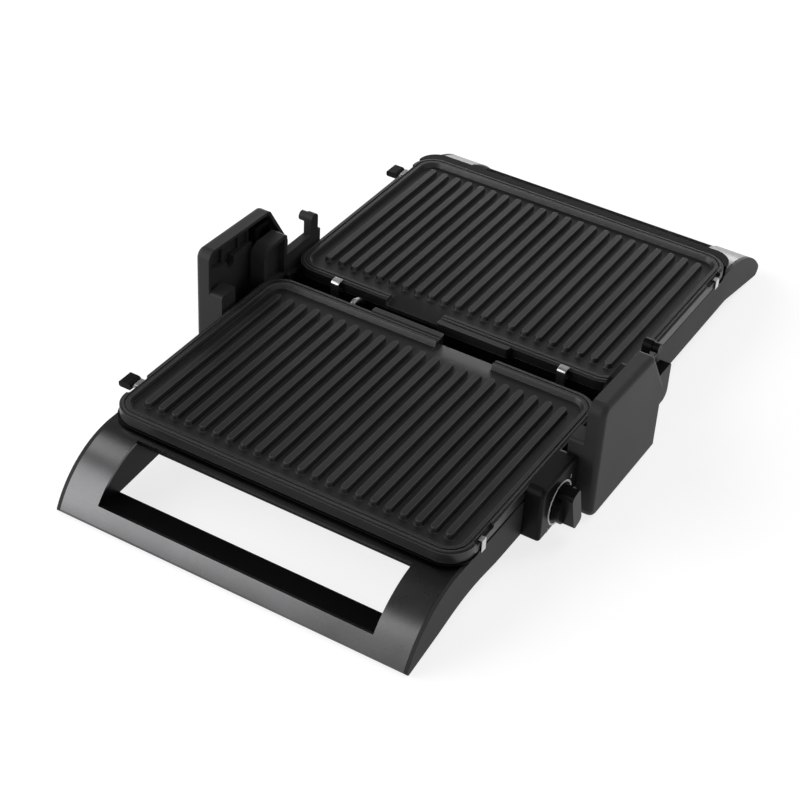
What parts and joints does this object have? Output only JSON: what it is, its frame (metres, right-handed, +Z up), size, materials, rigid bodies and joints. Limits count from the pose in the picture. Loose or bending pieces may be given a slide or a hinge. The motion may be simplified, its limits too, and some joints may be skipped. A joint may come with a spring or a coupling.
{
  "type": "contact grill",
  "caption": "Electric contact grill lying fully open: ribbed lower and upper plates side by side, arched grey frames with windows, hinge towers and a thermostat knob on the right.",
  "frame": {"origin": "on the table surface, at the centre of the open footprint, midway between the towers; the hinge line is 7.3 mm nearer to the base half", "axes": "+X to the side with the knob, +Y from the base half over the hinge to the lid half, +Z up"},
  "size_m": [0.38, 0.6352, 0.1107],
  "materials": {
    "coated_casting": "matte non-stick coating",
    "grey_shell": "satin metallic grey",
    "cheek_grey": "fine matte",
    "black_moulding": "matte",
    "charcoal_cover": "fine matte",
    "knob_black": "satin",
    "bright_steel": "brushed",
    "grey_steel": "dull zinc",
    "element_sheath": "heat darkened",
    "reflector_sheet": "bright rolled sheet",
    "black_rubber": "matte",
    "light_ring": "frosted",
    "circuit_board": "lacquered",
    "terminal_white": "plain"
  },
  "bodies": {
    "base": {"base_housing": "black_moulding", "base_bottom_cover": "black_moulding", "base_frame_shell": "grey_shell", "base_frame_liner": "black_moulding", "base_side_panel_left": "cheek_grey", "base_side_panel_right": "cheek_grey", "lower_plate": "coated_casting", "lower_heating_element": "element_sheath", "lower_reflector": "reflector_sheet", "lower_plate_clips": "bright_steel", "tower_cover_right": "charcoal_cover", "tower_cover_left": "charcoal_cover", "hinge_guide_right": "black_moulding", "hinge_guide_left": "black_moulding", "rear_chassis": "black_moulding", "rubber_feet": "black_rubber", "base_screws": "bright_steel", "control_box": "charcoal_cover", "indicator_ring": "light_ring", "indicator_board": "circuit_board", "thermostat": "grey_steel", "terminal_block": "terminal_white", "cord_gland": "black_rubber", "wire_conduit": "bright_steel"},
    "knob": {"control_knob": "knob_black", "thermostat_shaft": "bright_steel"},
    "lower_release": {"lower_release_latch": "grey_steel", "lower_release_button": "black_moulding", "lower_release_spring": "bright_steel"},
    "hinge_carriage": {"hinge_slider_left": "black_moulding", "hinge_slider_right": "black_moulding"},
    "upper_release": {"upper_release_latch": "grey_steel", "upper_release_button": "black_moulding", "upper_release_spring": "bright_steel"},
    "lid": {"lid_housing": "black_moulding", "lid_cover": "black_moulding", "lid_handle_shell": "grey_shell", "lid_handle_liner": "black_moulding", "lid_side_panel_left": "cheek_grey", "lid_side_panel_right": "cheek_grey", "upper_plate": "coated_casting", "upper_heating_element": "element_sheath", "upper_reflector": "reflector_sheet", "upper_plate_clips": "bright_steel", "lid_arm_left": "black_moulding", "lid_arm_right": "black_moulding", "hinge_pin_left": "bright_steel", "hinge_pin_right": "bright_steel", "lid_screws": "bright_steel"}
  },
  "joints": [
    {"name": "hinge_float", "type": "slide", "parent": "base", "child": "hinge_carriage", "axis": [0, 0, 1], "range_m": [0, 0.025]},
    {"name": "lid_hinge", "type": "hinge", "parent": "hinge_carriage", "child": "lid", "pos_m": [0, -0.00753, 0.06], "axis": [1, 0, 0], "range_deg": [0, 180]},
    {"name": "thermostat_turn", "type": "hinge", "parent": "base", "child": "knob", "pos_m": [0.1752, -0.12153, 0.034], "axis": [-1, 0, 0], "range_deg": [0, 270]},
    {"name": "lower_release_pull", "type": "slide", "parent": "base", "child": "lower_release", "axis": [-1, 0, 0], "range_m": [0, 0.004], "stiffness_N_per_m": 1200, "springref_m": -0.002, "deforming": ["lower_release_spring"]},
    {"name": "upper_release_pull", "type": "slide", "parent": "lid", "child": "upper_release", "axis": [-1, 0, 0], "range_m": [0, 0.004], "stiffness_N_per_m": 1200, "springref_m": -0.002, "deforming": ["upper_release_spring"]}
  ]
}
